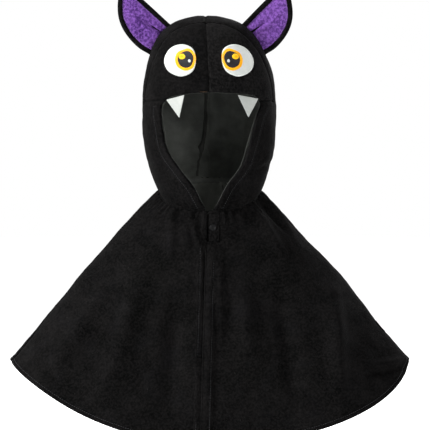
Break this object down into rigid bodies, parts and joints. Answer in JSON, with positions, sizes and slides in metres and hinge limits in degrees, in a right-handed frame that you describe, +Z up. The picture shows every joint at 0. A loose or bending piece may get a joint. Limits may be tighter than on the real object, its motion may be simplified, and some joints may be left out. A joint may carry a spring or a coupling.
{
  "type": "hooded costume cape",
  "caption": "Child's hooded bat costume cape in black velour with eared hood, round eyes, felt fangs and a front that snaps at the throat.",
  "frame": {"origin": "centre of the neck ring, where hood and cape are joined", "axes": "+Z up to the ears, -Y out of the face opening, +X to the wearer's left"},
  "size_m": [0.758, 0.33, 0.8636],
  "materials": {
    "velour": "short black pile with a soft sheen",
    "lining": "smooth knit, faint sheen",
    "tape": "woven twill tape",
    "purple_plush": "short purple plush",
    "wadding": "soft polyester wadding",
    "white_felt": "matt felt",
    "orange_print": "embroidered satin stitch",
    "dark_print": "embroidered satin stitch",
    "snap_enamel": "glossy black enamel"
  },
  "bodies": {
    "drape": {"cape_back": "velour", "cape_front_side_left": "velour", "cape_front_side_right": "velour", "neck_tape": "tape", "closure_underlap": "velour", "snap_stud": "snap_enamel", "snap_stud_back": "snap_enamel"},
    "hood": {"hood_forehead_left": "velour", "hood_side_left": "velour", "hood_lining_left": "lining", "hood_edge_band_left": "velour", "hood_forehead_right": "velour", "hood_side_right": "velour", "hood_lining_right": "lining", "hood_edge_band_right": "velour", "eye_white_left": "white_felt", "eye_white_right": "white_felt", "iris_left": "orange_print", "iris_right": "orange_print", "pupil_left": "dark_print", "pupil_right": "dark_print", "amber_glint_left": "orange_print", "amber_glint_right": "orange_print", "white_glint_left": "white_felt", "white_glint_right": "white_felt"},
    "ear_left": {"ear_shell_left": "velour", "ear_wadding_left": "wadding", "ear_lining_left": "purple_plush"},
    "ear_right": {"ear_shell_right": "velour", "ear_wadding_right": "wadding", "ear_lining_right": "purple_plush"},
    "fang_left": {"fang_left": "white_felt"},
    "fang_right": {"fang_right": "white_felt"},
    "front_left": {"cape_front_flap_left": "velour", "front_facing_left": "lining"},
    "front_right": {"cape_front_flap_right": "velour", "front_facing_right": "lining"},
    "closure_tab": {"closure_tab": "velour", "snap_cap": "snap_enamel", "snap_socket": "snap_enamel"}
  },
  "joints": [
    {"name": "hood_fold", "type": "hinge", "parent": "drape", "child": "hood", "pos_m": [0, 0.063, 0.0195], "axis": [-1, 0, 0], "range_deg": [0, 100]},
    {"name": "ear_flop_left", "type": "hinge", "parent": "hood", "child": "ear_left", "pos_m": [0.08625, -0.002, 0.28742], "axis": [0.625, 0, -0.7806], "range_deg": [-30, 30]},
    {"name": "ear_flop_right", "type": "hinge", "parent": "hood", "child": "ear_right", "pos_m": [-0.09586, -0.002, 0.28742], "axis": [0.5683, 0, 0.8228], "range_deg": [-30, 30]},
    {"name": "fang_swing_left", "type": "hinge", "parent": "hood", "child": "fang_left", "pos_m": [0.0535, -0.08666, 0.178], "axis": [-0.885, -0.4407, 0.1498], "range_deg": [-50, 50]},
    {"name": "fang_swing_right", "type": "hinge", "parent": "hood", "child": "fang_right", "pos_m": [-0.0465, -0.0886, 0.1778], "axis": [-0.9047, 0.3559, -0.2342], "range_deg": [-50, 50]},
    {"name": "front_open_left", "type": "hinge", "parent": "drape", "child": "front_left", "pos_m": [-0.00061, -0.08138, -0.102], "axis": [-0.5789, 0.1223, 0.8062], "range_deg": [0, 80]},
    {"name": "front_open_right", "type": "hinge", "parent": "drape", "child": "front_right", "pos_m": [-0.00661, -0.08135, -0.102], "axis": [-0.5879, -0.1281, -0.7987], "range_deg": [0, 80]},
    {"name": "tab_open", "type": "hinge", "parent": "drape", "child": "closure_tab", "pos_m": [0.0194, -0.06347, -0.044], "axis": [0, 0.2351, 0.972], "range_deg": [0, 110]}
  ]
}
